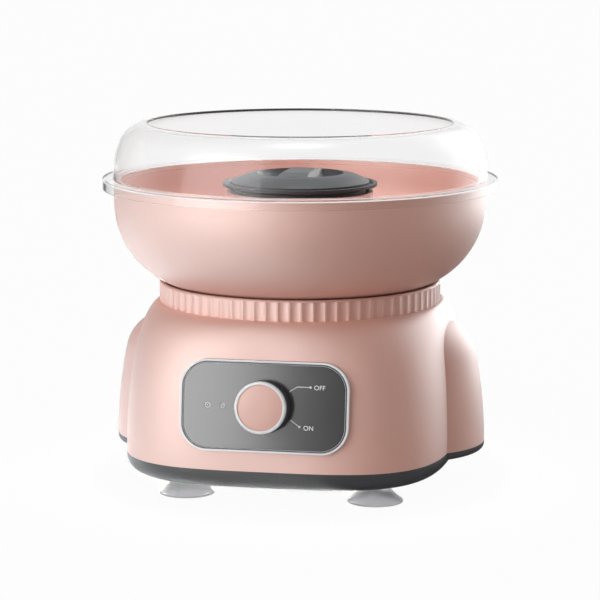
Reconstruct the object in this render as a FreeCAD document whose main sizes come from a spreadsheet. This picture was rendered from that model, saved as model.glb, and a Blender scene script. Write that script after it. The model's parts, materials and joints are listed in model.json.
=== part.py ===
"""Table-top candy-floss maker: lobed housing, lift-off bowl and clear shield, spinning heated head."""
import FreeCAD, Part
import Sketcher
import math
import operator
import os
from FreeCAD import Placement, Rotation, Vector

doc = FreeCAD.newDocument("candy_floss_maker")
os.makedirs("parts", exist_ok=True)

# Driving sizes in millimetres (angles in degrees), one row each in the spreadsheet
SIZES = [
    ("seam_z", 30.0), ("housing_top", 128.8), ("half_wide", 114.3), ("half_deep", 126.5),
    ("squareness", 3.5), ("wall", 2.6), ("crown_ease", 0.5),
    ("lobe_x", 74.0), ("lobe_r", 59.2), ("lobe_top", 117.0), ("lobe_side_round", 299.0),
    ("lobe_top_round", 29.0), ("deck_ledge", 16.2),
    ("cover_z", 16.5), ("cover_round", 11.5), ("cover_wall", 2.4), ("lobe_edge", 5.6), ("lobe_edge_round", 3.6),
    ("foot_in_x", 47.3), ("foot_in_y", 56.8), ("foot_r", 19.2), ("foot_rim", 1.8), ("foot_edge", 1.2),
    ("foot_bell", 15.0), ("foot_neck_r", 6.5), ("foot_stem_r", 4.6), ("foot_button_r", 7.0),
    ("foot_button", 2.6), ("foot_hollow", 7.0), ("fit", 0.2), ("run_fit", 0.05),
    ("ring_r", 100.2), ("ring_wall", 3.0), ("ring_rise", 14.4), ("flute_r", 8.0), ("flute_deep", 0.9),
    ("flute_count", 76.0), ("flute_stop", 1.2),
    ("deck_thick", 2.5), ("seat_r", 66.0), ("spigot_wall", 2.6), ("spigot_rise", 5.0),
    ("tower_r", 52.0), ("tower_wall", 2.5), ("tower_top", 206.5), ("ledge_z", 165.0),
    ("bowl_over", 31.8), ("bowl_tuck", 30.2), ("bowl_floor", 138.0), ("bowl_wall", 2.6),
    ("bowl_brim", 14.6), ("bowl_hole_r", 59.0), ("bowl_lip_z", 168.0),
    ("flange_out", 8.0), ("shield_wall", 1.9), ("skirt", 5.2), ("dome_out", 0.9), ("dome_side_round", 70.0),
    ("dome_top_round", 20.0), ("dome_rise", 39.1), ("mouth_in", 24.5), ("shield_rib", 3.0),
    ("head_r", 55.0), ("pan_r", 46.6), ("pan_floor", 191.0), ("pan_wall", 1.8), ("pan_neck", 208.2),
    ("pan_rim", 212.6), ("lip_wide", 2.8), ("cap_r", 49.3), ("cap_edge", 212.4), ("cap_top", 219.4),
    ("cap_wall", 2.2), ("crater_r", 31.0), ("crater_deep", 8.2), ("grip_top", 221.2), ("grip_wide", 21.0),
    ("grip_foot", 40.0), ("hub_r", 7.5), ("hub_top", 203.5), ("hub_foot", 183.5), ("hub_flange_r", 12.0),
    ("shaft_r", 3.0), ("shaft_top", 200.8), ("shaft_foot", 50.0), ("pin_r", 1.3), ("pin_half", 6.5),
    ("pin_z", 185.7), ("motor_r", 24.0), ("motor_foot", 64.0), ("bracket_z", 110.0), ("bracket_thick", 2.0),
    ("bracket_r", 43.0), ("boss_r", 4.2), ("boss_at", 36.0), ("bearing_r", 6.5), ("bearing_high", 4.0),
    ("fan_r", 29.0), ("fan_z", 51.5), ("fan_high", 10.0), ("fan_blades", 8.0),
    ("heater_r", 33.0), ("heater_tube", 3.2), ("heater_z", 176.5), ("dish_r", 48.6), ("dish_rim", 188.0),
    ("panel_in", 4.5), ("panel_z", 74.3), ("panel_tilt", 8.0), ("panel_wide", 116.0), ("panel_high", 62.0),
    ("panel_corner", 19.0), ("bezel_wide", 2.4), ("bezel_face", 2.6), ("bezel_back", 8.0),
    ("plate_face", 1.8), ("plate_thick", 2.8), ("lens_r", 2.4), ("lens_one", 38.8), ("lens_two", 28.2),
    ("knob_r", 17.9), ("knob_high", 13.4), ("knob_ring", 2.3), ("knob_gap", 0.7), ("knob_cap_high", 3.4),
    ("switch_half", 13.0), ("switch_deep", 16.0), ("bush_r", 4.5), ("nut_r", 7.0), ("nut_high", 2.2),
    ("post_in_x", 76.3), ("post_in_y", 42.5), ("post_r", 4.6), ("screw_r", 1.5), ("screw_head_r", 3.2),
    ("screw_head", 2.0), ("gland_z", 46.0), ("gland_r", 6.8), ("gland_bore", 3.4), ("gland_flange", 9.2),
    ("slot_wide", 4.0), ("slot_long", 44.0), ("slot_step", 10.0), ("slot_count", 9.0),
]
sheet = doc.addObject("Spreadsheet::Sheet", "dims")
for row, (alias, number) in enumerate(SIZES, start=1):
    sheet.set("A%d" % row, alias)
    sheet.set("B%d" % row, "%g" % number)
    sheet.setAlias("B%d" % row, alias)
doc.recompute()

SIGNS = {"+": operator.add, "-": operator.sub, "*": operator.mul, "/": operator.truediv}


class Size:
    """A number together with the spreadsheet formula it comes from."""

    def __init__(self, value, text):
        self.value = float(value)
        self.text = text

    def __add__(self, other):
        return joined(self, "+", other)

    def __radd__(self, other):
        return joined(other, "+", self)

    def __sub__(self, other):
        return joined(self, "-", other)

    def __rsub__(self, other):
        return joined(other, "-", self)

    def __mul__(self, other):
        return joined(self, "*", other)

    def __rmul__(self, other):
        return joined(other, "*", self)

    def __truediv__(self, other):
        return joined(self, "/", other)

    def __neg__(self):
        return joined(0, "-", self)


def as_size(number):
    return number if isinstance(number, Size) else Size(number, "%.9g" % number)


def joined(left, sign, right):
    left = as_size(left)
    right = as_size(right)
    return Size(SIGNS[sign](left.value, right.value), "(%s %s %s)" % (left.text, sign, right.text))


def root(size):
    return Size(math.sqrt(size.value), "sqrt(%s)" % size.text)


def square(size):
    return size * size


class Sheet:
    """The spreadsheet's sizes as attributes."""

    def __getattr__(self, alias):
        return Size(sheet.get(alias), "dims.%s" % alias)


d = Sheet()
PANEL_TURN = 90 - d.panel_tilt

# Sizes that follow from the driving ones
deck_open_r = d.ring_r - d.deck_ledge
foot_x = d.half_wide - d.foot_in_x
foot_y = d.half_deep - d.foot_in_y
post_x = d.half_wide - d.post_in_x
post_y = d.half_deep - d.post_in_y
panel_y = d.half_deep - d.panel_in
bowl_r = d.ring_r + d.bowl_over
bowl_foot_r = d.ring_r - d.bowl_tuck
bowl_round = bowl_r - bowl_foot_r
bowl_top = d.bowl_floor + bowl_round + d.bowl_brim
shield_r = bowl_r + d.flange_out
plate_top = bowl_top + d.shield_wall
dome_r = bowl_r + d.dome_out
dome_top = plate_top + d.dome_rise
mouth_r = dome_r - d.mouth_in
deck_r = d.ring_r - d.ring_wall - d.fit
deck_screw_r = (deck_open_r + deck_r) / 2


def bind(thing, path, size):
    """Ties a property to the spreadsheet where the size comes from it."""
    if isinstance(size, Size):
        thing.setExpression(path, size.text)


def value(size):
    return as_size(size).value


def new_body(label):
    body = doc.addObject("PartDesign::Body", label)
    body.Label = label
    return body


def on_panel(body, across=0, up=0, out=0):
    """Puts a body into the leaning frame of the control panel: x across, y up the plate, z outwards."""
    body.Placement = Placement(Vector(0, -100, 70), Rotation(Vector(1, 0, 0), PANEL_TURN.value))
    body.setExpression("Placement.Rotation.Angle", "%s * 1deg" % PANEL_TURN.text)
    bind(body, "Placement.Base.y", -panel_y)
    bind(body, "Placement.Base.z", d.panel_z)
    return body


def sketch(body, role="XY_Plane", x=0, y=0, z=0, turn=None):
    """A sketch on one of the body's own origin planes, moved by x, y, z in the plane's frame."""
    drawn = body.newObject("Sketcher::SketchObject", body.Label + "_sketch")
    plane = [item for item in body.Origin.OriginFeatures if item.Role == role][0]
    drawn.AttachmentSupport = [(plane, "")]
    drawn.MapMode = "FlatFace"
    angle = 0 if turn is None else turn.value
    axis = Vector(1, 0, 0)
    drawn.AttachmentOffset = Placement(Vector(value(x), value(y), value(z)), Rotation(axis, angle))
    for letter, size in (("x", x), ("y", y), ("z", z)):
        bind(drawn, "AttachmentOffset.Base." + letter, size)
    if turn is not None:
        drawn.setExpression("AttachmentOffset.Rotation.Angle", "%s * 1deg" % turn.text)
    return drawn


def measure(drawn, kind, where, size):
    """Adds a dimension to a sketch and ties it to the spreadsheet."""
    index = drawn.addConstraint(Sketcher.Constraint(kind, *where, value(size)))
    bind(drawn, "Constraints[%d]" % index, size)


def place_point(drawn, edge, end, x, y):
    for kind, axis, size in (("DistanceX", -2, x), ("DistanceY", -1, y)):
        if isinstance(size, Size):
            measure(drawn, kind, (-1, 1, edge, end), size)
        elif size == 0:
            drawn.addConstraint(Sketcher.Constraint("PointOnObject", edge, end, axis))
        else:
            drawn.addConstraint(Sketcher.Constraint(kind, -1, 1, edge, end, size))


def arc_between(start, end, radius, left):
    """The shorter arc from start to end; its centre lies to the left of the way or to the right."""
    way = end - start
    across = Vector(-way.y, way.x, 0).normalize()
    rise = math.sqrt(max(radius * radius - way.Length ** 2 / 4, 0))
    centre = (start + end) * 0.5 + across * (rise if left else -rise)
    first, last = (start, end) if left else (end, start)
    angle_one = math.atan2(first.y - centre.y, first.x - centre.x)
    angle_two = math.atan2(last.y - centre.y, last.x - centre.x)
    if angle_two < angle_one:
        angle_two += 2 * math.pi
    return Part.ArcOfCircle(Part.Circle(centre, Vector(0, 0, 1), radius), angle_one, angle_two)


def outline(drawn, corners):
    """A closed outline. A corner is (x, y) or (x, y, radius, side) with an arc on to the next corner."""
    first = drawn.GeometryCount
    count = len(corners)
    ends = []
    for index, corner in enumerate(corners):
        after = corners[(index + 1) % count]
        start = Vector(value(corner[0]), value(corner[1]), 0)
        end = Vector(value(after[0]), value(after[1]), 0)
        if len(corner) == 2:
            drawn.addGeometry(Part.LineSegment(start, end), False)
            ends.append((1, 2))
        else:
            left = corner[3] == "left"
            drawn.addGeometry(arc_between(start, end, value(corner[2]), left), False)
            ends.append((1, 2) if left else (2, 1))
    for index in range(count):
        after = (index + 1) % count
        joint = (first + index, ends[index][1], first + after, ends[after][0])
        drawn.addConstraint(Sketcher.Constraint("Coincident", *joint))
    for index, corner in enumerate(corners):
        place_point(drawn, first + index, ends[index][0], corner[0], corner[1])
        if len(corner) > 2:
            measure(drawn, "Radius", (first + index,), corner[2])


def circle(drawn, x, y, radius):
    edge = drawn.addGeometry(Part.Circle(Vector(value(x), value(y), 0), Vector(0, 0, 1), value(radius)), False)
    place_point(drawn, edge, 3, x, y)
    measure(drawn, "Radius", (edge,), radius)


def oblong(drawn, wide, high, corner, x=0, y=0):
    """A rectangle with rounded corners about the point x, y."""
    right = x + wide / 2
    left = x - wide / 2
    top = y + high / 2
    low = y - high / 2
    outline(drawn, [
        (left + corner, low), (right - corner, low, corner, "left"), (right, low + corner),
        (right, top - corner, corner, "left"), (right - corner, top), (left + corner, top, corner, "left"),
        (left, top - corner), (left, low + corner, corner, "left")])


def box(drawn, left, low, right, top):
    outline(drawn, [(left, low), (right, low), (right, top), (left, top)])


def cushion_loft(name, sections):
    """A solid through squared-off ovals, each given as (height, half width, half depth, squareness)."""
    wires = []
    for height, half_w, half_d, power in sections:
        points = []
        for step in range(OVAL_POINTS):
            angle = 2 * math.pi * step / OVAL_POINTS
            across = abs(math.cos(angle) / value(half_w)) ** power
            along = abs(math.sin(angle) / value(half_d)) ** power
            reach = (across + along) ** (-1 / power)
            points.append(Vector(reach * math.cos(angle), reach * math.sin(angle), value(height)))
        curve = Part.BSplineCurve()
        curve.interpolate(Points=points, PeriodicFlag=True)
        wires.append(Part.Wire(curve.toShape()))
    made = doc.addObject("Part::Feature", name)
    made.Shape = Part.makeLoft(wires, True, False)
    return made


def shelled(name, outer, inner):
    """One solid fused from the outer objects, less the inner objects."""
    whole = doc.addObject("Part::MultiFuse", name + "_outer")
    whole.Shapes = outer
    hollow = doc.addObject("Part::MultiFuse", name + "_inner")
    hollow.Shapes = inner
    shell = doc.addObject("Part::Cut", name + "_shell")
    shell.Base = whole
    shell.Tool = hollow
    return shell


def feature(body, kind, drawn):
    made = body.newObject("PartDesign::" + kind, body.Label + "_" + kind.lower())
    made.Profile = drawn
    drawn.Visibility = False
    return made


def turned(body, corners, kind="Revolution", x=0):
    """A solid of revolution, or a turned cut, about the vertical axis at x."""
    drawn = sketch(body, "XZ_Plane", x=x)
    outline(drawn, corners)
    made = feature(body, kind, drawn)
    made.ReferenceAxis = (drawn, ["V_Axis"])
    made.Angle = 360
    return made


def extruded(body, drawn, length, kind="Pad", back=False):
    made = feature(body, kind, drawn)
    made.Length = value(length)
    bind(made, "Length", length)
    made.Reversed = back
    return made


def around(body, original, count):
    """Repeats a feature around the vertical axis."""
    pattern = body.newObject("PartDesign::PolarPattern", body.Label + "_around")
    axis = [item for item in body.Origin.OriginFeatures if item.Role == "Z_Axis"][0]
    pattern.Originals = [original]
    pattern.Axis = (axis, [""])
    pattern.Angle = 360
    pattern.Occurrences = int(value(count))
    bind(pattern, "Occurrences", count)
    body.Tip = pattern
    return pattern


def turned_body(label, corners):
    body = new_body(label)
    turned(body, corners)
    return body


def disc_body(label, spots, radius, low, high):
    """A group of upright round pegs at the given spots."""
    body = new_body(label)
    drawn = sketch(body, z=low)
    for x, y in spots:
        circle(drawn, x, y, radius)
    extruded(body, drawn, high - low)
    return body


def tube(inner, outer, low, high):
    return [(inner, low), (outer, low), (outer, high), (inner, high)]


def grow(body, spots, radius, low, high):
    """Adds round pegs to a body, from one height to another."""
    drawn = sketch(body, z=low)
    for x, y in spots:
        circle(drawn, x, y, radius)
    return extruded(body, drawn, high - low)


def drill(body, spots, radius, low, high):
    """Drills round holes into a body, from one height to another."""
    drawn = sketch(body, z=high)
    for x, y in spots:
        circle(drawn, x, y, radius)
    return extruded(body, drawn, high - low, "Pocket")


def corners_of(x, y):
    return [(-x, -y), (x, -y), (-x, y), (x, y)]


def three_at(radius):
    return [(radius, 0), (-radius / 2, radius * 0.8660254), (-radius / 2, -radius * 0.8660254)]


# Lobed housing: a block lofted from a cushion outline to a near circle, with a dome at each side
LEVELS = (0, 20, 38, 54, 68, 80, 90)
OVAL_POINTS = 32
RISE = d.housing_top - d.seam_z
CROWN = d.ring_r + d.crown_ease


def block_levels(skin):
    """Housing outlines from the seam up to the round crown, set in by the skin thickness."""
    made = []
    for level in LEVELS:
        share = 1 - math.cos(math.radians(level))
        climb = math.sin(math.radians(level))
        made.append((d.seam_z + (RISE - skin) * climb,
                     d.half_wide - (d.half_wide - CROWN) * share - skin,
                     d.half_deep - (d.half_deep - CROWN) * share - skin,
                     value(d.squareness) + (2 - value(d.squareness)) * share))
    return made


def lobe_pair(name, corners):
    """The same turned solid about both side axes."""
    pair = []
    for word, side in (("right", d.lobe_x), ("left", -d.lobe_x)):
        body = turned_body("%s_%s" % (name, word), corners)
        bind(body, "Placement.Base.x", side)
        pair.append(body)
    return pair


def lobe_profile(skin):
    """Side dome in two tangent arcs, set in by the skin thickness."""
    reach = d.lobe_side_round - skin
    tight = d.lobe_top_round - skin
    foot = d.lobe_r - d.lobe_side_round
    upper_z = d.lobe_top - d.lobe_top_round
    upper_x = foot + root(square(d.lobe_side_round - d.lobe_top_round) - square(upper_z - d.seam_z))
    share = reach / (d.lobe_side_round - d.lobe_top_round)
    knee_x = foot + (upper_x - foot) * share
    knee_z = d.seam_z + (upper_z - d.seam_z) * share
    return [(0, d.seam_z), (d.lobe_r - skin, d.seam_z, reach, "left"), (knee_x, knee_z, tight, "left"),
            (upper_x, d.lobe_top - skin), (0, d.lobe_top - skin)]


posts = corners_of(post_x, post_y)
cover_top = d.cover_z + d.cover_wall
deck_screw_spots = corners_of(deck_screw_r * 0.72, deck_screw_r * 0.694)
NOTHING = Size(0, "0")

housing_shell = shelled(
    "shape_housing",
    [cushion_loft("shape_block", block_levels(NOTHING))] + lobe_pair("shape_lobe", lobe_profile(NOTHING)),
    [cushion_loft("shape_block_in", block_levels(d.wall))] + lobe_pair("shape_lobe_in", lobe_profile(d.wall)))
housing = new_body("upper_housing")
housing.BaseFeature = housing_shell
drill(housing, [(0, 0)], deck_open_r, d.housing_top - 2 * d.wall, d.housing_top + d.wall)
grow(housing, posts, d.post_r, cover_top + d.fit / 2, d.housing_top - d.wall / 2)
drill(housing, posts, d.screw_r + d.run_fit, cover_top - d.wall, cover_top + 6 * d.screw_r)
drill(housing, deck_screw_spots, d.screw_r + d.run_fit, d.housing_top - 2 * d.wall, d.housing_top + d.wall)
window = sketch(housing, "XZ_Plane", y=d.panel_z, z=panel_y, turn=-d.panel_tilt)
oblong(window, d.panel_wide + 2 * d.fit, d.panel_high + 2 * d.fit, d.panel_corner + d.fit)
cut = extruded(housing, window, 4 * d.bezel_back, "Pocket")
cut.Midplane = True
doorway = sketch(housing, "XZ_Plane", y=d.gland_z, z=-(d.half_deep - 4 * d.wall))
circle(doorway, 0, 0, d.gland_r + d.fit)
extruded(housing, doorway, 6 * d.wall, "Pocket")

# Dark bottom cover with a rounded edge, the same outline, and air slots in its floor


def cover_levels(skin):
    made = []
    for level in (0, 22, 45, 68, 90):
        share = 1 - math.sin(math.radians(level))
        climb = 1 - math.cos(math.radians(level))
        inset = (d.cover_round - skin) * share + skin
        made.append((d.cover_z + skin + (d.cover_round - skin) * climb, d.half_wide - inset,
                     d.half_deep - inset, value(d.squareness)))
    return made + [(d.seam_z, d.half_wide - skin, d.half_deep - skin, value(d.squareness))]


def cover_lobe(skin):
    low = d.seam_z - d.lobe_edge
    return [(0, low + skin), (d.lobe_r - d.lobe_edge_round, low + skin, d.lobe_edge_round - skin, "left"),
            (d.lobe_r - skin, low + d.lobe_edge_round), (d.lobe_r - skin, d.seam_z), (0, d.seam_z)]


cover_shell = shelled(
    "shape_cover",
    [cushion_loft("shape_tray", cover_levels(NOTHING))] + lobe_pair("shape_edge", cover_lobe(NOTHING)),
    [cushion_loft("shape_tray_in", cover_levels(d.cover_wall))]
    + lobe_pair("shape_edge_in", cover_lobe(d.cover_wall)))
cover = new_body("bottom_cover")
cover.BaseFeature = cover_shell
feet = corners_of(foot_x, foot_y)
drill(cover, feet, d.foot_stem_r + d.fit, d.cover_z - d.fit, cover_top + d.fit)
drill(cover, posts, d.screw_r + d.fit, d.cover_z - d.fit, cover_top + d.fit)
slot_sketch = sketch(cover, z=cover_top + d.fit)
oblong(slot_sketch, d.slot_wide, d.slot_long, d.slot_wide * 0.49, x=-d.slot_step * (d.slot_count - 1) / 2)
slot = extruded(cover, slot_sketch, d.cover_wall + 2 * d.fit, "Pocket")
slots = cover.newObject("PartDesign::LinearPattern", "bottom_cover_slots")
slots.Originals = [slot]
slots.Direction = ([item for item in cover.Origin.OriginFeatures if item.Role == "X_Axis"][0], [""])
slots.Length = value(d.slot_step * (d.slot_count - 1))
bind(slots, "Length", d.slot_step * (d.slot_count - 1))
slots.Occurrences = int(value(d.slot_count))
bind(slots, "Occurrences", d.slot_count)
cover.Tip = slots

# Four suction feet, each pressed through the cover by a button
for number, (x, y) in enumerate(feet, start=1):
    foot = turned_body("suction_foot_%d" % number, [
        (0, d.foot_hollow), (0, cover_top + d.fit + d.foot_button),
        (d.foot_stem_r, cover_top + d.fit + d.foot_button, d.foot_button_r - d.foot_stem_r, "right"),
        (d.foot_button_r, cover_top + d.fit + d.foot_stem_r + d.foot_button - d.foot_button_r),
        (d.foot_button_r, cover_top + d.fit), (d.foot_stem_r, cover_top + d.fit),
        (d.foot_stem_r, d.cover_z - d.run_fit), (d.foot_neck_r, d.cover_z - d.run_fit),
        (d.foot_neck_r, d.foot_bell, d.foot_r * 2.2, "left"), (d.foot_r, d.foot_edge),
        (d.foot_r, 0), (d.foot_r - d.foot_rim, 0, d.foot_r * 2, "left"), (d.foot_stem_r / 2, d.foot_hollow)])
    bind(foot, "Placement.Base.x", x)
    bind(foot, "Placement.Base.y", y)

# Screws through the cover into the housing posts
cover_screws = disc_body("cover_screws", posts, d.screw_head_r, d.cover_z - d.screw_head, d.cover_z)
grow(cover_screws, posts, d.screw_r, d.cover_z, cover_top + 5 * d.screw_r)

# Fluted ring on the crown
ring = turned_body("fluted_ring", [
    (d.ring_r - d.ring_wall, d.housing_top), (d.ring_r, d.housing_top),
    (d.ring_r, d.housing_top + d.ring_rise - d.flute_deep),
    (d.ring_r - d.flute_deep, d.housing_top + d.ring_rise),
    (d.ring_r - d.ring_wall, d.housing_top + d.ring_rise)])
flute_sketch = sketch(ring, z=d.housing_top + d.ring_rise - d.flute_stop)
circle(flute_sketch, d.ring_r + d.flute_r - d.flute_deep, 0, d.flute_r)
flute = extruded(ring, flute_sketch, d.ring_rise, "Pocket")
around(ring, flute, d.flute_count)

# Motor deck: a raised seat and a spigot for the bowl, and bosses for the motor bracket below
deck_top = d.housing_top + d.deck_thick
tower_in = d.tower_r - d.tower_wall
ledge_r = tower_in - 2 * d.tower_wall
spigot_r = d.bowl_hole_r - 2 * d.fit
spigot_in = spigot_r - d.spigot_wall
deck = turned_body("motor_deck", [
    (ledge_r, d.housing_top), (deck_r, d.housing_top), (deck_r, deck_top), (d.seat_r, deck_top),
    (d.seat_r, d.bowl_floor), (spigot_r, d.bowl_floor), (spigot_r, d.bowl_floor + d.spigot_rise),
    (spigot_in, d.bowl_floor + d.spigot_rise), (spigot_in, deck_top), (ledge_r, deck_top)])
boss_low = d.bracket_z + d.bracket_thick
bridge = sketch(deck, z=d.housing_top)
box(bridge, -(ledge_r + d.tower_wall / 2), -d.boss_r, ledge_r + d.tower_wall / 2, d.boss_r)
extruded(deck, bridge, d.deck_thick)
bridge = sketch(deck, z=d.housing_top)
box(bridge, -(d.boss_at / 2 + d.boss_r), -(ledge_r + d.tower_wall / 2), -(d.boss_at / 2 - d.boss_r),
    ledge_r + d.tower_wall / 2)
extruded(deck, bridge, d.deck_thick)
grow(deck, three_at(d.boss_at), d.boss_r, boss_low, d.housing_top + d.deck_thick / 2)
drill(deck, three_at(d.boss_at), d.screw_r + d.run_fit, boss_low - d.fit, boss_low + 6 * d.screw_r)
drill(deck, [(0, 0)], d.shaft_r * 3, d.housing_top - d.fit, deck_top + d.fit)
drill(deck, deck_screw_spots, d.screw_r + d.fit, d.housing_top - d.fit, deck_top + d.fit)

# Heater tower: a tube standing inside the spigot, with a foot flange and an inner ledge for the dish
foot_flange_r = spigot_in - d.fit
tower = turned_body("heater_tower", [
    (tower_in, deck_top), (foot_flange_r, deck_top), (foot_flange_r, deck_top + d.tower_wall),
    (d.tower_r, deck_top + d.tower_wall), (d.tower_r, d.tower_top), (tower_in, d.tower_top),
    (tower_in, d.ledge_z), (ledge_r, d.ledge_z), (ledge_r, d.ledge_z - d.tower_wall),
    (tower_in, d.ledge_z - d.tower_wall)])

deck_screws = disc_body("deck_screws", deck_screw_spots, d.screw_head_r, deck_top, deck_top + d.screw_head)
grow(deck_screws, deck_screw_spots, d.screw_r, d.housing_top - d.wall, deck_top)

# Lift-off bowl with a collar around its centre hole
bowl = turned_body("floss_bowl", [
    (d.bowl_hole_r, d.bowl_floor), (bowl_r - bowl_round, d.bowl_floor, bowl_round, "left"),
    (bowl_r, d.bowl_floor + bowl_round), (bowl_r, bowl_top), (bowl_r - d.bowl_wall, bowl_top),
    (bowl_r - d.bowl_wall, d.bowl_floor + bowl_round, bowl_round - d.bowl_wall, "right"),
    (bowl_r - bowl_round, d.bowl_floor + d.bowl_wall),
    (d.bowl_hole_r + d.bowl_wall, d.bowl_floor + d.bowl_wall), (d.bowl_hole_r + d.bowl_wall, d.bowl_lip_z),
    (d.bowl_hole_r, d.bowl_lip_z)])

# Clear shield: flange plate with a skirt, a locating rib, and a dome that ends in a wide round mouth


def dome_knee(skin):
    """Junction of the dome's two tangent arcs, set in by the skin thickness."""
    foot = dome_r - d.dome_side_round
    upper_z = dome_top - d.dome_top_round
    upper_x = foot + root(square(d.dome_side_round - d.dome_top_round) - square(upper_z - plate_top))
    share = (d.dome_side_round - skin) / (d.dome_side_round - d.dome_top_round)
    return upper_x, foot + (upper_x - foot) * share, plate_top + (upper_z - plate_top) * share


top_x, knee_x, knee_z = dome_knee(NOTHING)
top_x, inner_knee_x, inner_knee_z = dome_knee(d.shield_wall)
rib_r = bowl_r - d.bowl_wall - 2 * d.fit
shield = turned_body("splash_shield", [
    (rib_r - d.shield_wall, bowl_top - d.shield_rib), (rib_r, bowl_top - d.shield_rib), (rib_r, bowl_top),
    (shield_r - d.shield_wall, bowl_top), (shield_r - d.shield_wall, bowl_top - d.skirt),
    (shield_r, bowl_top - d.skirt), (shield_r, plate_top),
    (dome_r, plate_top, d.dome_side_round, "left"),
    (knee_x, knee_z, d.dome_top_round, "left"), (top_x, dome_top), (mouth_r, dome_top),
    (mouth_r, dome_top - d.shield_wall), (top_x, dome_top - d.shield_wall,
                                              d.dome_top_round - d.shield_wall, "right"),
    (inner_knee_x, inner_knee_z, d.dome_side_round - d.shield_wall, "right"),
    (dome_r - d.shield_wall, plate_top), (rib_r - d.shield_wall, plate_top)])

# Spinning sugar pan with its hub
pan_in = d.pan_r - d.pan_wall
rim_low = d.pan_rim - d.pan_wall
pan = turned_body("sugar_pan", [
    (d.hub_r + d.run_fit, d.pan_floor), (d.pan_r, d.pan_floor), (d.pan_r, d.pan_neck),
    (d.head_r, rim_low - d.fit), (d.head_r, d.pan_rim), (d.head_r - d.lip_wide, d.pan_rim),
    (d.head_r - d.lip_wide - d.pan_wall / 2, rim_low), (pan_in, d.pan_neck + d.pan_wall / 2),
    (pan_in, d.pan_floor + d.pan_wall), (d.hub_r + d.run_fit, d.pan_floor + d.pan_wall)])
bore = d.shaft_r + d.run_fit
hub = turned_body("drive_hub", [
    (bore, d.hub_foot), (d.hub_r, d.hub_foot), (d.hub_r, d.pan_floor - d.pan_wall),
    (d.hub_flange_r, d.pan_floor - d.pan_wall), (d.hub_flange_r, d.pan_floor), (d.hub_r, d.pan_floor),
    (d.hub_r, d.hub_top), (0, d.hub_top), (0, d.shaft_top + d.fit), (bore, d.shaft_top + d.fit)])
notch = sketch(hub, "XZ_Plane")
box(notch, -(d.hub_r + d.fit), d.hub_foot - d.fit, d.hub_r + d.fit, d.pin_z + d.pin_r + d.fit)
notch_cut = extruded(hub, notch, 2 * (d.pin_r + d.fit), "Pocket")
notch_cut.Midplane = True

# Cap of the pan: dome with a finger crater and a grip bar across it, socketed on the hub
crater_low = d.cap_top - d.crater_deep
socket_r = d.hub_r + d.fit
cap = turned_body("pan_cap", [
    (0, d.hub_top + d.fit), (socket_r, d.hub_top + d.fit), (socket_r, d.hub_top - d.cap_wall * 2),
    (socket_r + d.cap_wall, d.hub_top - d.cap_wall * 2), (socket_r + d.cap_wall, crater_low - d.cap_wall),
    (d.crater_r - d.cap_wall * 2, crater_low - d.cap_wall), (d.crater_r, d.cap_top - d.cap_wall * 1.6),
    (d.cap_r - d.cap_wall, d.cap_edge), (d.cap_r, d.cap_edge),
    (d.cap_r, d.cap_edge + d.cap_wall / 2, d.cap_r, "left"), (d.crater_r + d.cap_wall, d.cap_top),
    (d.crater_r, d.cap_top, d.crater_deep * 1.2, "right"), (d.crater_r - d.crater_deep, crater_low),
    (0, crater_low)])
grip = sketch(cap, "XZ_Plane")
outline(grip, [
    (-d.grip_foot / 2, crater_low - d.cap_wall / 2), (d.grip_foot / 2, crater_low - d.cap_wall / 2,
                                                      d.crater_deep * 1.7, "right"),
    (d.grip_wide / 2, d.grip_top - d.cap_wall / 2), (d.grip_wide / 2 - d.cap_wall / 2, d.grip_top),
    (-(d.grip_wide / 2 - d.cap_wall / 2), d.grip_top),
    (-d.grip_wide / 2, d.grip_top - d.cap_wall / 2, d.crater_deep * 1.7, "right")])
bar = extruded(cap, grip, 2 * (d.crater_r - d.cap_wall / 4))
bar.Midplane = True
trim = turned(cap, [
    (d.crater_r * 0.55, d.grip_top), (d.crater_r * 1.3, d.cap_top - d.cap_wall / 2),
    (d.crater_r * 1.3, d.grip_top + d.cap_wall), (d.crater_r * 0.55, d.grip_top + d.cap_wall)], "Groove")

# Rotor: shaft, drive pin, armature and cooling fan
shaft = turned_body("motor_shaft", [(0, d.shaft_foot), (d.shaft_r, d.shaft_foot), (d.shaft_r, d.shaft_top),
                                    (0, d.shaft_top)])
pin_hole = sketch(shaft, "YZ_Plane")
circle(pin_hole, 0, d.pin_z, d.pin_r)
pin_cut = extruded(shaft, pin_hole, 4 * d.shaft_r, "Pocket")
pin_cut.Midplane = True
pin = new_body("drive_pin")
pin_sketch = sketch(pin, "YZ_Plane")
circle(pin_sketch, 0, d.pin_z, d.pin_r)
pin_pad = extruded(pin, pin_sketch, 2 * d.pin_half)
pin_pad.Midplane = True
core_low = d.motor_foot + 3 * d.bearing_high
core_high = d.bracket_z - 2 * d.bearing_high
armature = turned_body("motor_armature", tube(d.shaft_r, d.motor_r * 0.68, core_low, core_high))
fan = turned_body("cooling_fan", [
    (d.shaft_r, d.fan_z), (2 * d.shaft_r, d.fan_z), (2 * d.shaft_r, d.fan_z + d.fan_high - d.fit),
    (d.shaft_r, d.fan_z + d.fan_high - d.fit)])
disc = sketch(fan, z=d.fan_z)
circle(disc, 0, 0, d.fan_r)
circle(disc, 0, 0, d.shaft_r * 1.5)
extruded(fan, disc, d.deck_thick / 2)
blade_sketch = sketch(fan, z=d.fan_z)
box(blade_sketch, 1.7 * d.shaft_r, -d.pin_r / 2, d.fan_r, d.pin_r / 2)
blade = extruded(fan, blade_sketch, d.fan_high - d.deck_thick / 2)
around(fan, blade, d.fan_blades)

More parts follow.
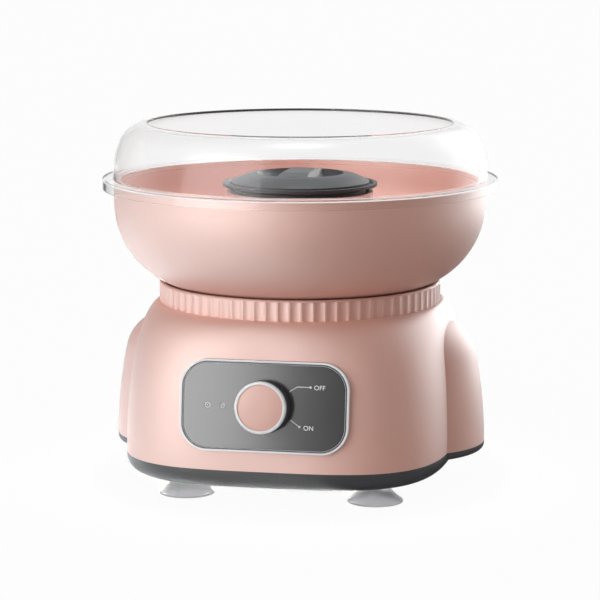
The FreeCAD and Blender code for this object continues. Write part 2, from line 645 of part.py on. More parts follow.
# Motor hung from a bracket under the deck
seat = d.bearing_r + d.run_fit
can_wall = d.deck_thick * 0.6
motor = turned_body("motor_can", [
    (d.motor_r - can_wall, d.motor_foot + can_wall), (d.motor_r, d.motor_foot + can_wall),
    (d.motor_r, d.bracket_z), (seat + can_wall, d.bracket_z), (seat + can_wall, d.bracket_z + d.bearing_high),
    (2 * d.shaft_r, d.bracket_z + d.bearing_high), (2 * d.shaft_r, d.bracket_z + d.bearing_high - can_wall),
    (seat, d.bracket_z + d.bearing_high - can_wall), (seat, d.bracket_z - can_wall),
    (d.motor_r - can_wall, d.bracket_z - can_wall)])
end_bell = turned_body("motor_end_bell", [
    (2 * d.shaft_r, d.motor_foot), (d.motor_r, d.motor_foot), (d.motor_r, d.motor_foot + can_wall),
    (seat + can_wall, d.motor_foot + can_wall), (seat + can_wall, d.motor_foot + can_wall + d.bearing_high),
    (seat, d.motor_foot + can_wall + d.bearing_high), (seat, d.motor_foot + can_wall),
    (2 * d.shaft_r, d.motor_foot + can_wall)])
upper_low = d.bracket_z + d.bearing_high - can_wall - d.bearing_high
turned_body("upper_bearing", tube(bore, d.bearing_r, upper_low, upper_low + d.bearing_high))
lower_low = d.motor_foot + can_wall
turned_body("lower_bearing", tube(bore, d.bearing_r, lower_low, lower_low + d.bearing_high))
stator_in = d.motor_r * 0.68 + 2 * d.fit
turned_body("motor_stator", tube(stator_in, d.motor_r - can_wall - d.run_fit, core_low, core_high))
bracket = turned_body("motor_bracket", tube(seat + can_wall + d.run_fit, d.bracket_r, d.bracket_z, boss_low))
drill(bracket, three_at(d.boss_at), d.screw_r + d.fit, d.bracket_z - d.fit, boss_low + d.fit)
screw_low = d.bracket_z - d.screw_head
screws = disc_body("bracket_screws", three_at(d.boss_at), d.screw_head_r, screw_low, d.bracket_z)
grow(screws, three_at(d.boss_at), d.screw_r, d.bracket_z, boss_low + 5 * d.screw_r)

# Heater in the tower: dish on the ledge, ceramic posts, and the ring element with its legs
dish_wall = d.pan_wall / 2
leg_turn = 15
leg_x = d.heater_r * math.cos(math.radians(leg_turn))
leg_y = d.heater_r * math.sin(math.radians(leg_turn))
legs = [(leg_x, leg_y), (leg_x, -leg_y)]
dish_top = d.ledge_z + dish_wall
dish = turned_body("heater_dish", [
    (3 * d.shaft_r, d.ledge_z), (d.dish_r, d.ledge_z), (d.dish_r, d.dish_rim),
    (d.dish_r - dish_wall, d.dish_rim),
    (d.dish_r - dish_wall, dish_top), (3 * d.shaft_r, dish_top)])
drill(dish, legs, d.heater_tube + d.fit, d.ledge_z - d.fit, dish_top + d.fit)
heater_ring = doc.addObject("Part::Torus", "heater_coil")
bind(heater_ring, "Radius1", d.heater_r)
bind(heater_ring, "Radius2", d.heater_tube)
heater_ring.Angle3 = 360 - 2 * leg_turn
bind(heater_ring, "Placement.Base.z", d.heater_z)
heater_ring.Placement = Placement(Vector(0, 0, value(d.heater_z)), Rotation(Vector(0, 0, 1), leg_turn))
bind(heater_ring, "Placement.Base.z", d.heater_z)
pieces = [heater_ring]
for number, (x, y) in enumerate(legs):
    leg = doc.addObject("Part::Cylinder", "heater_leg_%d" % number)
    bind(leg, "Radius", d.heater_tube)
    bind(leg, "Height", d.heater_z - d.ledge_z + 2 * d.bearing_high)
    bind(leg, "Placement.Base.x", x)
    bind(leg, "Placement.Base.y", y)
    bind(leg, "Placement.Base.z", d.ledge_z - 2 * d.bearing_high)
    knuckle = doc.addObject("Part::Sphere", "heater_knuckle_%d" % number)
    bind(knuckle, "Radius", d.heater_tube)
    bind(knuckle, "Placement.Base.x", x)
    bind(knuckle, "Placement.Base.y", y)
    bind(knuckle, "Placement.Base.z", d.heater_z)
    pieces.extend([leg, knuckle])
heater = doc.addObject("Part::MultiFuse", "heater_ring")
heater.Shapes = pieces
heater.Label = "heater_ring"
heater.Refine = False
prop_spots = [(-d.heater_r, 0), (0, d.heater_r), (0, -d.heater_r)]
disc_body("heater_posts", prop_spots, d.heater_tube, dish_top, d.heater_z - d.heater_tube)
cutout_spot = [(-d.heater_r * 0.6, -d.heater_r * 0.5)]
disc_body("thermal_cutout", cutout_spot, 2 * d.boss_r, d.ledge_z - 2 * d.bearing_high, d.ledge_z)

# Control panel in its leaning frame: chrome bezel, dark plate, lenses, lamp board, rotary switch
bezel = on_panel(new_body("panel_bezel"))
bezel_sketch = sketch(bezel, z=-d.bezel_back)
oblong(bezel_sketch, d.panel_wide, d.panel_high, d.panel_corner)
oblong(bezel_sketch, d.panel_wide - 2 * d.bezel_wide, d.panel_high - 2 * d.bezel_wide,
       d.panel_corner - d.bezel_wide)
rim = extruded(bezel, bezel_sketch, d.bezel_back + d.bezel_face)
lens_spots = [(-d.lens_one, 0), (-d.lens_two, 0)]
plate_back = d.plate_face - d.plate_thick
board_spots = [(-d.lens_one - 3 * d.lens_r, 0), (-d.lens_two + 2.6 * d.lens_r, 0)]
board_face = plate_back - 5.2
plate = on_panel(new_body("panel_plate"))
plate_sketch = sketch(plate, z=plate_back)
plate_inset = d.bezel_wide + d.fit / 2
oblong(plate_sketch, d.panel_wide - 2 * plate_inset, d.panel_high - 2 * plate_inset, d.panel_corner - plate_inset)
extruded(plate, plate_sketch, d.plate_thick)
grow(plate, board_spots, d.screw_r * 1.6, board_face, d.plate_face - d.plate_thick / 2)
drill(plate, lens_spots, d.lens_r + d.run_fit, plate_back - d.fit, d.plate_face + d.fit)
drill(plate, [(0, 0)], d.bush_r + d.fit, plate_back - d.fit, d.plate_face + d.fit)
lenses = on_panel(disc_body("indicator_lenses", lens_spots, d.lens_r, plate_back, d.plate_face))
lamps = on_panel(disc_body("indicator_lamps", lens_spots, d.lens_r * 0.7, board_face, plate_back - d.fit))
board = on_panel(new_body("indicator_board"))
board_sketch = sketch(board, z=board_face - d.deck_thick * 0.6)
box(board_sketch, -d.lens_one - 4.8 * d.lens_r, -3 * d.lens_r, -d.lens_two + 4.4 * d.lens_r, 3 * d.lens_r)
extruded(board, board_sketch, d.deck_thick * 0.6)
switch = on_panel(new_body("rotary_switch"))
switch_sketch = sketch(switch, z=plate_back - d.switch_deep)
oblong(switch_sketch, 2 * d.switch_half, 2 * d.switch_half, d.switch_half / 6)
extruded(switch, switch_sketch, d.switch_deep)
bush_top = d.plate_face + d.nut_high + d.deck_thick / 2
grow(switch, [(0, 0)], d.bush_r, plate_back - d.fit, bush_top)
drill(switch, [(0, 0)], bore, plate_back - d.switch_deep / 2, bush_top + d.fit)
nut = on_panel(new_body("switch_nut"))
nut_sketch = sketch(nut, z=d.plate_face)
half_side = d.nut_r / 2
flat = d.nut_r * 0.8660254
outline(nut_sketch, [(d.nut_r, 0), (half_side, flat), (-half_side, flat), (-d.nut_r, 0), (-half_side, -flat),
                     (half_side, -flat)])
circle(nut_sketch, 0, 0, d.bush_r + d.run_fit)
extruded(nut, nut_sketch, d.nut_high)

# Knob: dark skirt, bright trim ring, coloured cap, and the switch spindle it sits on
knob_low = d.plate_face + d.knob_gap
ring_low = knob_low + d.knob_high - d.knob_cap_high
cave_top = bush_top + d.knob_gap
skirt = on_panel(turned_body("knob_skirt", [
    (d.nut_r + d.knob_gap, knob_low), (d.knob_r + d.fit, knob_low), (d.knob_r - d.fit, ring_low),
    (0, ring_low), (0, ring_low - d.knob_gap), (d.shaft_r, ring_low - d.knob_gap), (d.shaft_r, cave_top),
    (d.nut_r + d.knob_gap, cave_top)]))
trim_ring = on_panel(turned_body("knob_ring", [
    (d.knob_r - d.knob_ring, ring_low), (d.knob_r - d.fit, ring_low),
    (d.knob_r - d.fit, ring_low + d.knob_cap_high - d.knob_ring / 2, d.knob_ring / 2, "left"),
    (d.knob_r - d.fit - d.knob_ring / 2, ring_low + d.knob_cap_high),
    (d.knob_r - d.knob_ring, ring_low + d.knob_cap_high)]))
cap_r = d.knob_r - d.knob_ring - d.run_fit
face = on_panel(turned_body("knob_cap", [
    (0, ring_low), (cap_r, ring_low), (cap_r, ring_low + d.knob_cap_high - 4 * d.fit, 6 * d.knob_r, "left"),
    (cap_r / 8, ring_low + d.knob_cap_high), (0, ring_low + d.knob_cap_high)]))
spindle = on_panel(turned_body("switch_spindle", [
    (0, plate_back - d.switch_deep / 2 + d.fit), (d.shaft_r, plate_back - d.switch_deep / 2 + d.fit),
    (d.shaft_r, ring_low - d.knob_gap), (0, ring_low - d.knob_gap)]))

# Cord gland in the rear wall and the terminal block on the cover's floor
gland = new_body("cord_gland")
gland_sketch = sketch(gland, "XY_Plane", z=d.gland_z)
flange_at = d.half_deep + d.fit
outline(gland_sketch, [
    (d.gland_bore, flange_at - 4 * d.wall), (d.gland_r, flange_at - 4 * d.wall), (d.gland_r, flange_at),
    (d.gland_flange, flange_at), (d.gland_flange, flange_at + d.deck_thick),
    (d.gland_bore, flange_at + d.deck_thick)])
gland_turn = feature(gland, "Revolution", gland_sketch)
gland_turn.ReferenceAxis = (gland_sketch, ["V_Axis"])
gland_turn.Angle = 360
terminals = new_body("terminal_block")
terminal_sketch = sketch(terminals, z=cover_top)
box(terminal_sketch, -d.switch_half * 1.5, d.half_deep * 0.55, d.switch_half * 1.5, d.half_deep * 0.68)
extruded(terminals, terminal_sketch, d.switch_half)

# Every named sub-part is checked and written
doc.recompute()
SKIP = ("heater_coil", "heater_leg", "heater_knuckle", "shape_")
for thing in doc.Objects:
    if "Invalid" in thing.State or "Error" in thing.State:
        raise RuntimeError("%s did not build: %s" % (thing.Label, thing.State))
for thing in doc.Objects:
    whole = thing.TypeId in ("PartDesign::Body", "Part::MultiFuse")
    if not whole or thing.Label.startswith(SKIP):
        continue
    shape = thing.Shape
    if shape.isNull() or not shape.isValid():
        raise RuntimeError("%s has no valid shape" % thing.Label)
    shape.exportStep("parts/%s.step" % thing.Label)
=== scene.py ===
"""Looks of a table-top candy-floss maker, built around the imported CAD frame."""
import json
import math

import bmesh
import bpy
from mathutils import Matrix, Vector


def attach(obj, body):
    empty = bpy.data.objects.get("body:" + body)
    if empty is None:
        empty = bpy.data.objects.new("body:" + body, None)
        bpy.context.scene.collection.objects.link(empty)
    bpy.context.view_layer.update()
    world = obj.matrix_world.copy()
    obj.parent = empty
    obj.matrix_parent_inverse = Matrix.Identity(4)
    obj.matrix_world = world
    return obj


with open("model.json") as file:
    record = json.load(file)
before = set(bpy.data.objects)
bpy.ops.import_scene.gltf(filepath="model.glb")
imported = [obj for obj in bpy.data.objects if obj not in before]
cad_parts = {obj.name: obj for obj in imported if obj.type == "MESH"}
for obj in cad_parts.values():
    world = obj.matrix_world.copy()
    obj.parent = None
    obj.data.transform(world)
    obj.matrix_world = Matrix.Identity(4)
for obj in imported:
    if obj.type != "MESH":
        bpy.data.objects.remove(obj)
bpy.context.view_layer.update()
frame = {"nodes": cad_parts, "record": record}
scene = bpy.context.scene
scene.view_settings.view_transform = "Standard"
MM = 0.001

# Camera that took the photograph, fitted to its outlines
IMAGE_SIZE = 600
CAMERA_DISTANCE = 1.8108
CAMERA_HEIGHT = 0.4227
CAMERA_TURN = math.radians(11.3)
CAMERA_PITCH = math.radians(9.256)
CAMERA_REACH = 20.0
FOCAL_PIXELS = 2562.0
SENSOR = 36.0


def srgb(red, green, blue):
    """Linear colour from 0 to 255 display values."""
    def linear(level):
        level /= 255.0
        return level / 12.92 if level <= 0.04045 else ((level + 0.055) / 1.055) ** 2.4
    return (linear(red), linear(green), linear(blue), 1.0)


def wire(tree, kind, *sources, give=0, **values):
    """A node whose first inputs are linked to sources or set to constants. Gives one of its outputs."""
    made = tree.nodes.new(kind)
    for key, content in values.items():
        setattr(made, key, content)
    for place, source in enumerate(sources):
        if isinstance(source, (int, float, tuple)):
            made.inputs[place].default_value = source
        elif source is not None:
            tree.links.new(source, made.inputs[place])
    return made.outputs[give]


# Materials

# Part of the noise's range that colours and gloss are spread over
NOISE_LOW, NOISE_HIGH = 0.3, 0.7


class Nodes:
    """A material's node tree with short calls to add and link nodes."""

    def __init__(self, name):
        self.material = bpy.data.materials.new(name)
        self.material.use_nodes = True
        self.tree = self.material.node_tree
        self.shader = self.tree.nodes["Principled BSDF"]
        self.coords = self.tree.nodes.new("ShaderNodeTexCoord")

    def link(self, source, target):
        self.tree.links.new(source, self.shader.inputs[target])

    def noise(self, scale, detail, stretch=None):
        """Noise over the object's own coordinates, in features per metre."""
        place = self.coords.outputs["Object"]
        if stretch:
            place = wire(self.tree, "ShaderNodeMapping", place)
            place.node.inputs["Scale"].default_value = stretch
        node = wire(self.tree, "ShaderNodeTexNoise", place).node
        node.inputs["Scale"].default_value = scale
        node.inputs["Detail"].default_value = detail
        return node.outputs["Fac"]

    def gloss(self, factor, low, high):
        """Roughness between two levels, driven by noise."""
        level = wire(self.tree, "ShaderNodeMapRange", factor, NOISE_LOW, NOISE_HIGH, low, high)
        self.link(level, "Roughness")

    def tint(self, factor, one, two):
        """Base colour between two shades, driven by a factor."""
        node = wire(self.tree, "ShaderNodeValToRGB", factor).node
        for stop, place, shade in zip(node.color_ramp.elements, (NOISE_LOW, NOISE_HIGH), (one, two)):
            stop.position = place
            stop.color = shade
        self.link(node.outputs["Color"], "Base Color")

    def bump(self, factor, strength, distance):
        node = self.tree.nodes.new("ShaderNodeBump")
        node.inputs["Strength"].default_value = strength
        node.inputs["Distance"].default_value = distance
        self.tree.links.new(factor, node.inputs["Height"])
        self.link(node.outputs["Normal"], "Normal")

    def set(self, **values):
        for key, content in values.items():
            self.shader.inputs[key.replace("_", " ")].default_value = content


def moulded(name, light, dark, rough, grain, grain_depth, drift=0.02, **values):
    """Moulded plastic: slight colour drift, uneven gloss, and a fine spark-eroded grain."""
    made = Nodes(name)
    made.tint(made.noise(9.0, 3.0), dark, light)
    made.gloss(made.noise(35.0, 4.0), rough - drift, rough + drift)
    made.bump(made.noise(grain, 2.0), 0.25, grain_depth)
    made.set(**values)
    return made.material


def metal(name, light, dark, rough, stretch, line_scale, line_depth):
    """Metal with fine drawn lines and uneven polish."""
    made = Nodes(name)
    made.set(Metallic=1.0)
    made.tint(made.noise(14.0, 3.0), dark, light)
    made.gloss(made.noise(line_scale, 3.0, stretch), rough - 0.05, rough + 0.07)
    made.bump(made.noise(line_scale, 2.0, stretch), 0.2, line_depth)
    return made.material


PINK_LIGHT = (0.645, 0.318, 0.245, 1.0)
PINK_DARK = (0.615, 0.296, 0.226, 1.0)
pink = moulded("pink_plastic", PINK_LIGHT, PINK_DARK, 0.60, 2600.0, 0.00003,
               Specular_IOR_Level=0.8, Coat_Weight=1.0, Coat_Roughness=0.60)
knob_pink = moulded("knob_pink", PINK_LIGHT, PINK_DARK, 0.55, 2600.0, 0.00003,
                    Specular_IOR_Level=0.5, Coat_Weight=0.4, Coat_Roughness=0.5)
dark = moulded("dark_plastic", srgb(74, 75, 77), srgb(66, 67, 69), 0.40, 3200.0, 0.00005,
               Specular_IOR_Level=0.20)
plate_grey = moulded("panel_grey", srgb(60, 60, 61), srgb(57, 57, 58), 0.15, 4200.0, 0.00001, 0.005)
black = moulded("black_plastic", srgb(34, 34, 35), srgb(26, 26, 27), 0.5, 3000.0, 0.00005)
smoke = moulded("smoked_lens", srgb(84, 84, 86), srgb(78, 78, 80), 0.22, 3000.0, 0.00001)
white_ceramic = moulded("white_ceramic", srgb(226, 222, 210), srgb(214, 209, 196), 0.35, 900.0, 0.00005)
board_green = moulded("board_green", srgb(38, 92, 56), srgb(30, 78, 46), 0.4, 1500.0, 0.00004)
lamp_red = moulded("lamp_red", srgb(196, 62, 50), srgb(178, 50, 42), 0.2, 900.0, 0.00002)
rubber_black = moulded("rubber_black", srgb(36, 36, 36), srgb(28, 28, 28), 0.62, 2400.0, 0.00008)
ink = moulded("panel_ink", srgb(240, 240, 240), srgb(232, 232, 232), 0.45, 3000.0, 0.00001)
coated = moulded("coated_metal", srgb(58, 59, 61), srgb(52, 53, 55), 0.46, 1800.0, 0.00002,
                 Specular_IOR_Level=0.22)
chrome = moulded("silver_trim", srgb(232, 233, 236), srgb(224, 225, 228), 0.26, 3000.0, 0.00001)
TURNED = (30.0, 30.0, 600.0)
WOUND = (60.0, 60.0, 2600.0)
steel = metal("bright_steel", srgb(186, 187, 190), srgb(170, 171, 175), 0.30, TURNED, 1.0, 0.00003)
zinc = metal("zinc_plate", srgb(132, 134, 138), srgb(116, 118, 122), 0.42, None, 400.0, 0.00003)
copper = metal("copper_winding", srgb(186, 128, 92), srgb(160, 104, 72), 0.38, WOUND, 1.0, 0.0001)
brass = metal("brass", srgb(206, 176, 112), srgb(190, 158, 94), 0.30, None, 300.0, 0.00002)

# The shield's lip and outer rim look dark, because the light there runs along the wall. That shade is painted
# into the clear base colour, in a band at each edge.
SHADE_BAND_DEEP = 0.0014
LIP_SHADE_SHARE = 1.0
RIM_SHADE_SHARE = 0.4
CLEAR_WALL = (0.985, 0.987, 0.99, 1.0)
EDGE_PAINTED_SHADE = (0.52, 0.47, 0.45, 1.0)
shield = frame["nodes"]["splash_shield"]
shield_reach = [math.hypot(vertex.co.x, vertex.co.y) for vertex in shield.data.vertices]
glassy = Nodes("clear_plastic")
glassy.set(IOR=1.09, Transmission_Weight=1.0, Coat_Weight=0.2, Coat_Roughness=0.30, Coat_IOR=1.5)
flat = wire(glassy.tree, "ShaderNodeVectorMath", glassy.coords.outputs["Object"], (1.0, 1.0, 0.0),
            operation="MULTIPLY")
reach = wire(glassy.tree, "ShaderNodeVectorMath", flat, operation="LENGTH", give="Value")
# Painted shade: how far the clear base colour darkens towards the lip and towards the outer rim
painted_edge_shade = [wire(glassy.tree, "ShaderNodeMapRange", reach, edge, edge + inwards, share, 0.0)
         for edge, inwards, share in ((min(shield_reach), SHADE_BAND_DEEP, LIP_SHADE_SHARE),
                                      (max(shield_reach), -SHADE_BAND_DEEP, RIM_SHADE_SHARE))]
glassy.tint(wire(glassy.tree, "ShaderNodeMath", *painted_edge_shade, operation="MAXIMUM"), CLEAR_WALL, EDGE_PAINTED_SHADE)
glassy.gloss(glassy.noise(40.0, 3.0), 0.0, 0.03)
glassy.bump(glassy.noise(28.0, 2.0), 0.04, 0.0002)

milky = Nodes("silicone_rubber")
milky.tint(milky.noise(60.0, 3.0), srgb(202, 202, 204), srgb(210, 210, 212))
milky.set(Transmission_Weight=0.8, IOR=1.12)
milky.gloss(milky.noise(90.0, 3.0), 0.36, 0.48)
milky.bump(milky.noise(1200.0, 2.0), 0.15, 0.00004)

FINISHES = {
    "pink_plastic": pink, "dark_plastic": dark, "clear_plastic": glassy.material,
    "foot_rubber": milky.material, "chrome_trim": chrome, "panel_grey": plate_grey, "head_metal": coated,
    "steel": steel, "motor_steel": zinc, "copper_core": copper, "ceramic_post": white_ceramic,
    "board_green": board_green, "lamp_red": lamp_red, "lens_smoke": smoke, "switch_black": black,
    "gland_rubber": rubber_black, "brass_nut": brass,
}
slots = {item["node"]: item["material_slot"] for item in frame["record"]["subparts"]}
for name, node in frame["nodes"].items():
    node.data.materials.clear()
    node.data.materials.append(FINISHES[slots[name]])
frame["nodes"]["knob_cap"].data.materials[0] = knob_pink
shield.visible_shadow = False
shield.visible_diffuse = False
shield.visible_glossy = False

# Printed marks, and a painted shade line along the bezel, on the control plate, in the plate's own frame: x
# right, y up, z outwards.
# Their places and sizes are in millimetres.
PANEL_TILT = math.radians(8.0)
PANEL_PLACE = (0.0, -0.122, 0.0743)
PANEL = Matrix.Translation(PANEL_PLACE) @ Matrix.Rotation(math.pi / 2 - PANEL_TILT, 4, "X")
INK = 0.00008
LINE_HALF = 0.24
DOT_RADIUS = 0.75
DOT_STEPS = 24
OFF_LINE = [(17.2, 10.8), (22.4, 14.2), (31.6, 14.2)]
ON_LINE = [(18.4, -8.2), (24.6, -12.6)]
OFF_WORD = (33.9, 12.6)
ON_WORD = (27.3, -14.7)
WORD_HIGH = 3.2
CAPITAL_SHARE = 0.729
LETTER_SPACE = 1.02
POWER_X = -38.8
POWER_RADIUS = 1.7
POWER_HALF = 0.22
POWER_DOT = 0.4
POWER_DOT_STEPS = 16
HEAT_X = -28.2
HEAT_LEAN = math.radians(-24.0)
HEAT_WIDE, HEAT_HIGH = 1.5, 1.9
HEAT_TAPER = 1.4
HEAT_HALF = 0.2
HEAT_STEPS = 40
BEZEL_WIDE, BEZEL_HIGH, BEZEL_CORNER = 58.0, 31.0, 19.0
# Painted shade line along the inside of the bezel, drawn in black
SHADE_LINE_INSET = 1.75
SHADE_LINE_HALF = 0.5
SHADE_LINE_STEPS = 24


def face_height(name):
    """How far a panel piece stands out along the plate's normal."""
    back = PANEL.inverted()
    node = frame["nodes"][name]
    return max((back @ node.matrix_world @ vertex.co).z for vertex in node.data.vertices)


bpy.context.view_layer.update()
PLATE_FACE = face_height("panel_plate")
LENS_FACE = face_height("indicator_lenses")
BEZEL_FACE = face_height("panel_bezel")


def set_on_plate(name, mesh, finish):
    """Puts a mesh drawn in the plate's frame on the plate."""
    mesh.materials.append(finish)
    made = bpy.data.objects.new(name, mesh)
    scene.collection.objects.link(made)
    made.matrix_world = PANEL
    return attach(made, "base")


def prism(shape, loop, low):
    """A thin raised face over a loop of points."""
    top = [shape.verts.new((x * MM, y * MM, low + INK)) for x, y in loop]
    foot = [shape.verts.new((x * MM, y * MM, low)) for x, y in loop]
    shape.faces.new(top)
    for here in range(len(loop)):
        after = (here + 1) % len(loop)
        shape.faces.new((foot[here], foot[after], top[after], top[here]))


def band(shape, path, half, low, closed=False):
    """A line of even width along a path."""
    count = len(path)
    left, right = [], []
    for here in range(count):
        before = path[here - 1] if here or closed else path[here]
        after = path[(here + 1) % count] if here < count - 1 or closed else path[here]
        along = Vector((after[0] - before[0], after[1] - before[1])).normalized()
        left.append((path[here][0] - along.y * half, path[here][1] + along.x * half))
        right.append((path[here][0] + along.y * half, path[here][1] - along.x * half))
    for here in range(count if closed else count - 1):
        after = (here + 1) % count
        prism(shape, [left[here], right[here], right[after], left[after]], low)


def round_path(x, y, radius, start=0.0, end=360.0, steps=40):
    """Points on an arc. A full circle doesn't repeat its first point."""
    turn = [math.radians(start + (end - start) * step / steps) for step in range(steps + 1)]
    if end - start >= 360.0:
        turn.pop()
    return [(x + radius * math.cos(angle), y + radius * math.sin(angle)) for angle in turn]


def drawn(name, build, finish=ink):
    """A piece on the plate whose mesh is drawn by a function: print, and also the bezel's painted shade line.
    """
    shape = bmesh.new()
    build(shape)
    mesh = bpy.data.meshes.new(name)
    shape.to_mesh(mesh)
    shape.free()
    return set_on_plate(name, mesh, finish)


def lettering(name, word, corner):
    """A word in plain capitals, with its lower left corner at a place."""
    text = bpy.data.curves.new(name, "FONT")
    text.body = word
    text.size = WORD_HIGH * MM / CAPITAL_SHARE
    text.extrude = INK / 2
    text.resolution_u = 6
    text.space_character = LETTER_SPACE
    holder = bpy.data.objects.new(name + "_text", text)
    scene.collection.objects.link(holder)
    bpy.context.view_layer.update()
    solid = holder.evaluated_get(bpy.context.evaluated_depsgraph_get())
    mesh = bpy.data.meshes.new_from_object(solid)
    mesh.name = name
    bpy.data.objects.remove(holder)
    mesh.materials.clear()
    mesh.transform(Matrix.Translation((corner[0] * MM, corner[1] * MM, PLATE_FACE + INK / 2)))
    return set_on_plate(name, mesh, ink)


def bezel_shade_line(shape):
    """Painted shade along the inside of the bezel: a dark line on its face, a rounded rectangle."""
    corner = BEZEL_CORNER - SHADE_LINE_INSET
    wide = BEZEL_WIDE - SHADE_LINE_INSET - corner
    high = BEZEL_HIGH - SHADE_LINE_INSET - corner
    path = []
    for start, x, y in ((0.0, 1, 1), (90.0, -1, 1), (180.0, -1, -1), (270.0, 1, -1)):
        path += round_path(x * wide, y * high, corner, start, start + 90.0, SHADE_LINE_STEPS)
    band(shape, path, SHADE_LINE_HALF, BEZEL_FACE, closed=True)


def leader(path):
    """A line that ends in a dot."""
    def build(shape):
        band(shape, path, LINE_HALF, PLATE_FACE)
        prism(shape, round_path(*path[-1], DOT_RADIUS, steps=DOT_STEPS), PLATE_FACE)
    return build


def power_icon(shape):
    """A ring with a dot."""
    band(shape, round_path(POWER_X, 0.0, POWER_RADIUS), POWER_HALF, LENS_FACE, closed=True)
    prism(shape, round_path(POWER_X, 0.0, POWER_DOT, steps=POWER_DOT_STEPS), LENS_FACE)


def heat_icon(shape):
    """A leaning flame, drawn as the outline of a drop."""
    path = []
    for step in range(HEAT_STEPS):
        turn = 2 * math.pi * step / HEAT_STEPS
        x = HEAT_WIDE * math.sin(turn) * math.sin(turn / 2) ** HEAT_TAPER
        y = HEAT_HIGH * math.cos(turn)
        path.append((HEAT_X + x * math.cos(HEAT_LEAN) - y * math.sin(HEAT_LEAN),
                     x * math.sin(HEAT_LEAN) + y * math.cos(HEAT_LEAN)))
    band(shape, path, HEAT_HALF, LENS_FACE, closed=True)


# The bezel's dark line is painted shade
drawn("bezel_painted_shade", bezel_shade_line, black)
drawn("leader_off", leader(OFF_LINE))
drawn("leader_on", leader(ON_LINE))
drawn("icon_power", power_icon)
drawn("icon_heat", heat_icon)
lettering("word_off", "OFF", OFF_WORD)
lettering("word_on", "ON", ON_WORD)

# Floor: white to the eye and through the shield, with the object's shadow. As a reflection it is dark, and
# lighter in front on the left and far behind.
FLOOR_SIZE = 40.0
FLOOR_WHITE = (0.85, 0.85, 0.85, 1.0)
FLOOR_THROUGH = 0.88
FLOOR_OPEN = 0.96
FLOOR_DARK, FLOOR_FRONT, FLOOR_BACK = 0.05, 0.4, 0.9
white = bpy.data.materials.new("studio_floor")
white.use_nodes = True
ground = white.node_tree
ground.nodes.clear()


def mirrored_ray(tree, path):
    """One for reflected rays. Those refracted by a clear wall count as glossy too, and are taken off."""
    return wire(tree, "ShaderNodeMath", path["Is Glossy Ray"], path["Is Transmission Ray"],
                operation="SUBTRACT", use_clamp=True)


def open_ray(tree, path, share):
    """One for rays from the camera, and a share of it for rays through a clear wall."""
    through = wire(tree, "ShaderNodeMath", path["Is Transmission Ray"], share, operation="MULTIPLY")
    return wire(tree, "ShaderNodeMath", path["Is Camera Ray"], through, operation="MAXIMUM")


def along_floor(x_share, y_share):
    """Distance along a direction on the floor."""
    across = wire(ground, "ShaderNodeMath", axes["X"], x_share, operation="MULTIPLY")
    return wire(ground, "ShaderNodeMath", axes["Y"], y_share, across, operation="MULTIPLY_ADD")


path = ground.nodes.new("ShaderNodeLightPath").outputs
place = wire(ground, "ShaderNodeNewGeometry", give="Position")
axes = wire(ground, "ShaderNodeSeparateXYZ", place).node.outputs
front_glow = wire(ground, "ShaderNodeMapRange", along_floor(-0.6, -0.75), 0.1, 0.6, FLOOR_DARK, FLOOR_FRONT)
back_glow = wire(ground, "ShaderNodeMapRange", along_floor(0.55, 0.83), 0.3, 0.9, 0.0, FLOOR_BACK)
reflected = wire(ground, "ShaderNodeMath", front_glow, back_glow, operation="MAXIMUM")
mirrored = mirrored_ray(ground, path)
glow = wire(ground, "ShaderNodeEmission", None, wire(ground, "ShaderNodeMix", mirrored, None, 1.0, reflected))
matt = wire(ground, "ShaderNodeBsdfDiffuse", FLOOR_WHITE)
lit = wire(ground, "ShaderNodeMath", open_ray(ground, path, FLOOR_THROUGH), FLOOR_OPEN, operation="MULTIPLY")
glow_share = wire(ground, "ShaderNodeMath", lit, mirrored, operation="MAXIMUM")
surface = wire(ground, "ShaderNodeMixShader", glow_share, matt, glow)
ground.links.new(surface, ground.nodes.new("ShaderNodeOutputMaterial").inputs["Surface"])
bpy.ops.mesh.primitive_plane_add(size=FLOOR_SIZE, location=(0.0, 0.0, 0.0))
floor = bpy.context.object
floor.name = "studio_floor"
floor.data.materials.append(white)

# World: white to the eye, soft light for the rest, and as a reflection dark with a pale backdrop behind
AMBIENT = 0.55
WORLD_THROUGH = 0.84
MIRRORED = 0.06
BACKDROP = 0.9
BEHIND_TURN = math.radians(14.0)
BEHIND = (math.sin(BEHIND_TURN), math.cos(BEHIND_TURN), 0.0)
BACKDROP_EDGE, BACKDROP_FULL = 0.20, 0.75
scene.world = bpy.data.worlds.new("studio")
scene.world.use_nodes = True
sky = scene.world.node_tree
background = sky.nodes["Background"]
background.inputs["Color"].default_value = (1.0, 1.0, 1.0, 1.0)
path = sky.nodes.new("ShaderNodeLightPath").outputs
open_level = wire(sky, "ShaderNodeMapRange", open_ray(sky, path, WORLD_THROUGH), 0.0, 1.0, AMBIENT, 1.0)
way = wire(sky, "ShaderNodeTexCoord", give="Generated")
behind = wire(sky, "ShaderNodeVectorMath", way, BEHIND, operation="DOT_PRODUCT", give="Value")
backdrop = wire(sky, "ShaderNodeMapRange", behind, BACKDROP_EDGE, BACKDROP_FULL, MIRRORED, BACKDROP)
level = wire(sky, "ShaderNodeMix", mirrored_ray(sky, path), None, open_level, backdrop)
sky.links.new(level, background.inputs["Strength"])

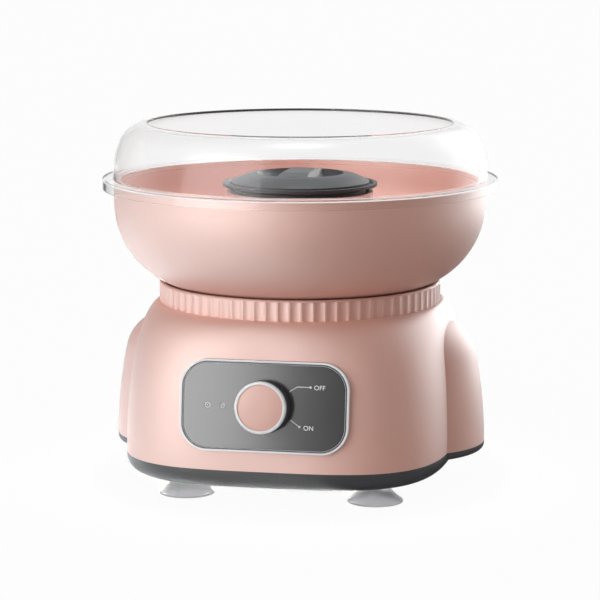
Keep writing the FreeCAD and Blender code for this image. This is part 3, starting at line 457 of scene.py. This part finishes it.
# Lamps
MIDDLE = (0.0, 0.0, 0.13)
LOW_TURN = math.radians(-71.0)
LOW_NEAR = 0.4
LOW_WIDE, LOW_DEEP = 2.8, 2.6
LOW_SHIFT = 0.2
LOW_HEIGHT = 0.001
LOW_RADIANCE = 3.2
TOP_PLACE = (-0.75, -0.55, 1.5)
TOP_SIDE = 1.2
TOP_RADIANCE = 3.0
KEY_PLACE = (-0.75, -1.2, 0.85)
KEY_SIDE = 1.2
KEY_POWER = 3.5
BOWL_PLACE = (0.0, -0.02, 1.3)
BOWL_TARGET = (0.0, 0.0, 0.18)
BOWL_SIDE = 0.12
BOWL_POWER = 0.26
BOWL_SPREAD = math.radians(20)


def lamp(name, place, target, size, power):
    """A rectangular lamp turned to a target."""
    light = bpy.data.lights.new(name, "AREA")
    light.shape = "RECTANGLE"
    light.size, light.size_y = size
    light.energy = power
    made = bpy.data.objects.new(name, light)
    scene.collection.objects.link(made)
    made.location = place
    made.rotation_euler = (Vector(target) - Vector(place)).to_track_quat("-Z", "Y").to_euler()
    return made


def sheen(name, place, target, size, radiance):
    """A lamp that is seen only as a sheen on glossy surfaces."""
    made = lamp(name, place, target, size, radiance * math.pi * size[0] * size[1])
    made.visible_diffuse = False
    made.visible_transmission = False
    made.data.cycles.use_multiple_importance_sampling = False
    return made


def screen(name, start, end, reach, high, radiance):
    """A white reflector that stands on the floor, between two angles from the front."""
    middle = math.radians((start + end) / 2)
    wide = 2 * reach * math.tan(math.radians(abs(end - start) / 2))
    place = (reach * math.sin(middle), -reach * math.cos(middle), high / 2)
    return sheen(name, place, (0.0, 0.0, high / 2), (wide, high), radiance)


front = screen("sheen_front_left", -60.0, -11.0, reach=1.5, high=1.5, radiance=10.5)
front.data.cycles.use_multiple_importance_sampling = True
screen("sheen_left", -115.0, -60.0, reach=1.4, high=1.3, radiance=1.3)
screen("sheen_right", 118.0, 168.0, reach=1.4, high=1.3, radiance=7.0)
# A pale sheet that lies on the floor on the left, facing up
low_reach = LOW_NEAR + LOW_DEEP / 2
low_place = (low_reach * math.sin(LOW_TURN) + LOW_SHIFT * math.cos(LOW_TURN),
             -low_reach * math.cos(LOW_TURN) + LOW_SHIFT * math.sin(LOW_TURN), LOW_HEIGHT)
low = sheen("sheen_low", low_place, MIDDLE, (LOW_WIDE, LOW_DEEP), LOW_RADIANCE)
low.rotation_euler = (math.pi, 0.0, -LOW_TURN)
sheen("sheen_top", TOP_PLACE, MIDDLE, (TOP_SIDE, TOP_SIDE), TOP_RADIANCE)
lamp("key_soft", KEY_PLACE, MIDDLE, (KEY_SIDE, KEY_SIDE), KEY_POWER)
inside = lamp("bowl_light", BOWL_PLACE, BOWL_TARGET, (BOWL_SIDE, BOWL_SIDE), BOWL_POWER)
inside.data.spread = BOWL_SPREAD

camera = bpy.data.cameras.new("camera")
camera.sensor_width = SENSOR
camera.lens = SENSOR * FOCAL_PIXELS / IMAGE_SIZE
camera.clip_end = CAMERA_REACH
viewer = bpy.data.objects.new("camera", camera)
scene.collection.objects.link(viewer)
viewer.location = (CAMERA_DISTANCE * math.sin(CAMERA_TURN), -CAMERA_DISTANCE * math.cos(CAMERA_TURN),
                   CAMERA_HEIGHT)
viewer.rotation_euler = (math.pi / 2 - CAMERA_PITCH, 0.0, CAMERA_TURN)
scene.camera = viewer
